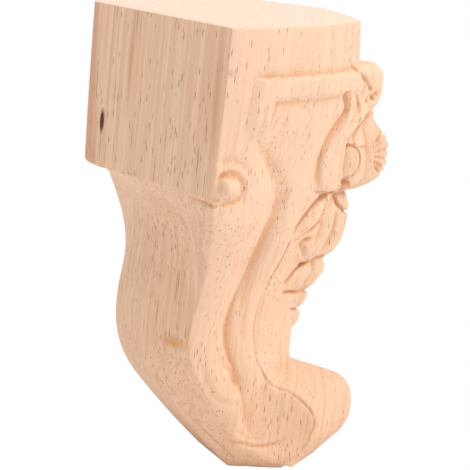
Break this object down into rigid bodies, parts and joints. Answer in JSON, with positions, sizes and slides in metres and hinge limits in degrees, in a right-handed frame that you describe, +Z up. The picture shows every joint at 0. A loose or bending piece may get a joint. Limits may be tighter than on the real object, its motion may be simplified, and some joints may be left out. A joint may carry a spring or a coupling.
{
  "type": "carved furniture leg",
  "caption": "Carved wooden corner leg: flat-topped block, S-curved leg with scroll bands and rolled toe, shell and leaves down the front.",
  "frame": {"origin": "middle of the flat top that the furniture rests on", "axes": "+Z up, out of the flat top; the carved nose and toe point to -Y; the leg is the same on both sides of X = 0"},
  "size_m": [0.0636, 0.0726, 0.1],
  "materials": {
    "bare_wood": "bare sanded pale hardwood, unfinished"
  },
  "bodies": {
    "root": {"carved_leg": "bare_wood"}
  },
  "joints": []
}
